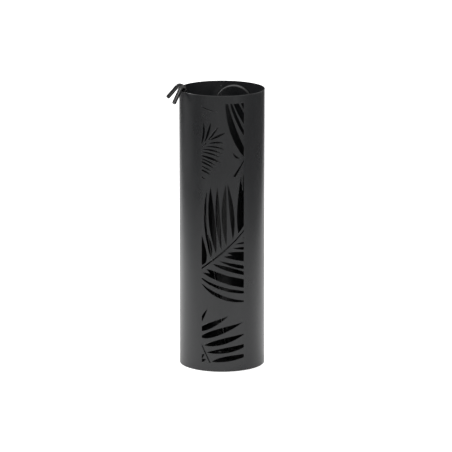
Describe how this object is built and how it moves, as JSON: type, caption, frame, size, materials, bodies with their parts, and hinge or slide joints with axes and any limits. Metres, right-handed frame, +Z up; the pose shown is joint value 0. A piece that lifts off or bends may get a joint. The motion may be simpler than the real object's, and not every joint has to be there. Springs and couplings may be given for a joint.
{
  "type": "umbrella stand",
  "caption": "Tall cylindrical umbrella stand of black sheet steel with a laser-cut palm frond window, a lift-out drip tray with a strip handle and a double umbrella hook on a leaning rod.",
  "frame": {"origin": "on the tube's axis at floor level, in the plane of the rubber pad's underside", "axes": "+Z up along the tube, -Y towards the palm frond window, +X to the right when facing the window"},
  "size_m": [0.1752, 0.152, 0.5122],
  "materials": {
    "black_coat": "fine-textured satin black powder coat on sheet steel",
    "tray_coat": "matt black powder coat on sheet steel",
    "strip_coat": "satin black powder coat on steel strip",
    "hook_coat": "semi-gloss black coat on round steel bar",
    "rubber": "matt black rubber",
    "rivet_steel": "dull zinc-plated steel"
  },
  "bodies": {
    "stand": {"tube_shell": "black_coat", "seam_weld": "black_coat", "base_plate": "black_coat", "base_pad": "rubber"},
    "tray": {"drip_tray": "tray_coat", "tray_handle": "strip_coat", "rivets_left": "rivet_steel", "rivets_right": "rivet_steel"},
    "hook": {"hook_shaft": "hook_coat", "hook_prong_front": "hook_coat", "hook_prong_back": "hook_coat", "shaft_cap": "rubber"}
  },
  "joints": [
    {"name": "tray_lift", "type": "slide", "parent": "stand", "child": "tray", "axis": [0, 0, 1], "range_m": [0, 0.52]},
    {"name": "hook_lift", "type": "slide", "parent": "tray", "child": "hook", "axis": [-0.1527, -0.0422, 0.9874], "range_m": [0, 0.45]}
  ]
}
